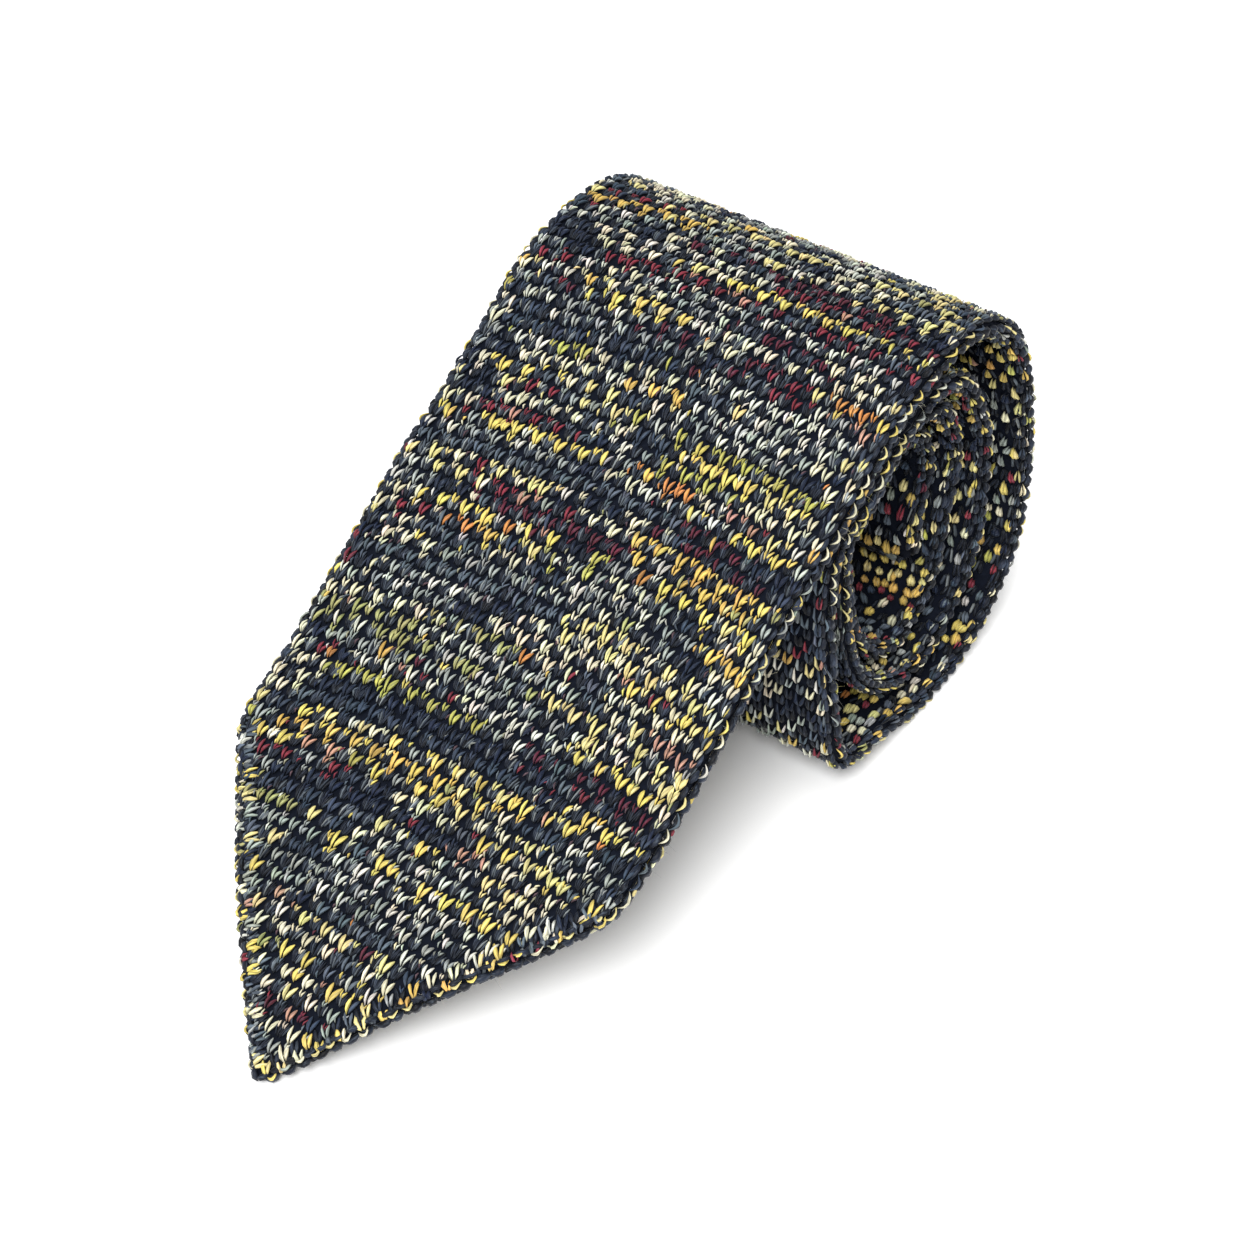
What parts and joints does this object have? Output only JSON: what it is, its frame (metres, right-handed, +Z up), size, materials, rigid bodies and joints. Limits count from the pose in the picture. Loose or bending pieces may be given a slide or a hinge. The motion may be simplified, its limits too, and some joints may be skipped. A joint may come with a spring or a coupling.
{
  "type": "rolled knit tie",
  "caption": "Knitted tie rolled up from its narrow end, its pointed front blade sloping down from the roll to rest on the surface.",
  "frame": {"origin": "on the resting surface, under the middle of the whole thing's box", "axes": "+Z up from the surface, -Y along the front blade towards its point, +Y towards the back of the roll, +X across the blade to the right as seen from the point"},
  "size_m": [0.0646, 0.1372, 0.0625],
  "materials": {
    "knitted_yarn": "matt bird's-eye knit of navy yarn with yellow, cream, red and grey flecks in uneven stripes"
  },
  "bodies": {
    "root": {"knit_tie": "knitted_yarn"}
  },
  "joints": []
}
